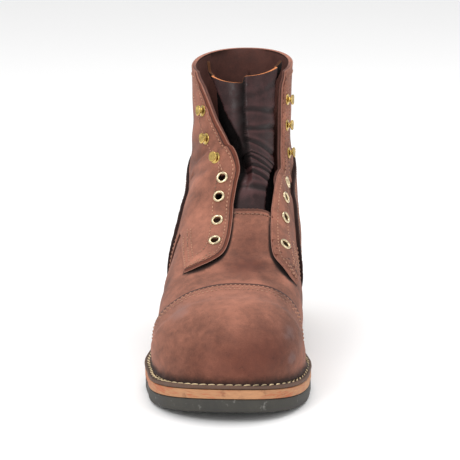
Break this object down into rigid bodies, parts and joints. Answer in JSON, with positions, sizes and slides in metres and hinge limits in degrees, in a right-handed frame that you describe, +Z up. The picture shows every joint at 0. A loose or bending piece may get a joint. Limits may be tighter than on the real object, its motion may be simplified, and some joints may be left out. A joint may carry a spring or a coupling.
{
  "type": "lace-up ankle boot",
  "caption": "Right lace-up work boot with stitched-down edge, toe cap, heel counter, bellows tongue, eyelets, speed hooks, layered sole and stacked heel; unlaced and empty.",
  "frame": {"origin": "on the floor under the middle of the boot's box", "axes": "+Z up, +Y to the heel, -Y to the toe, +X to the wearer's inner side"},
  "size_m": [0.1115, 0.299, 0.1989],
  "materials": {
    "roughout": "reddish-brown roughout leather, napped and lightly scuffed",
    "tongue_leather": "dark smooth leather, creased",
    "insole_leather": "plain tan leather",
    "sole_leather": "natural leather edge, stained in patches",
    "rubber": "dark grey matt rubber",
    "brass": "polished brass"
  },
  "bodies": {
    "root": {"upper": "roughout", "toe_cap": "roughout", "counter": "roughout", "tongue": "tongue_leather", "insole": "insole_leather", "midsole": "sole_leather", "outsole": "rubber", "heel_lift_1": "sole_leather", "heel_lift_2": "sole_leather", "top_piece": "rubber", "eyelet_outer_1": "brass", "eyelet_outer_2": "brass", "eyelet_outer_3": "brass", "eyelet_outer_4": "brass", "eyelet_inner_1": "brass", "eyelet_inner_2": "brass", "eyelet_inner_3": "brass", "eyelet_inner_4": "brass", "hook_outer_1": "brass", "hook_outer_2": "brass", "hook_outer_3": "brass", "hook_inner_1": "brass", "hook_inner_2": "brass", "hook_inner_3": "brass"}
  },
  "joints": []
}
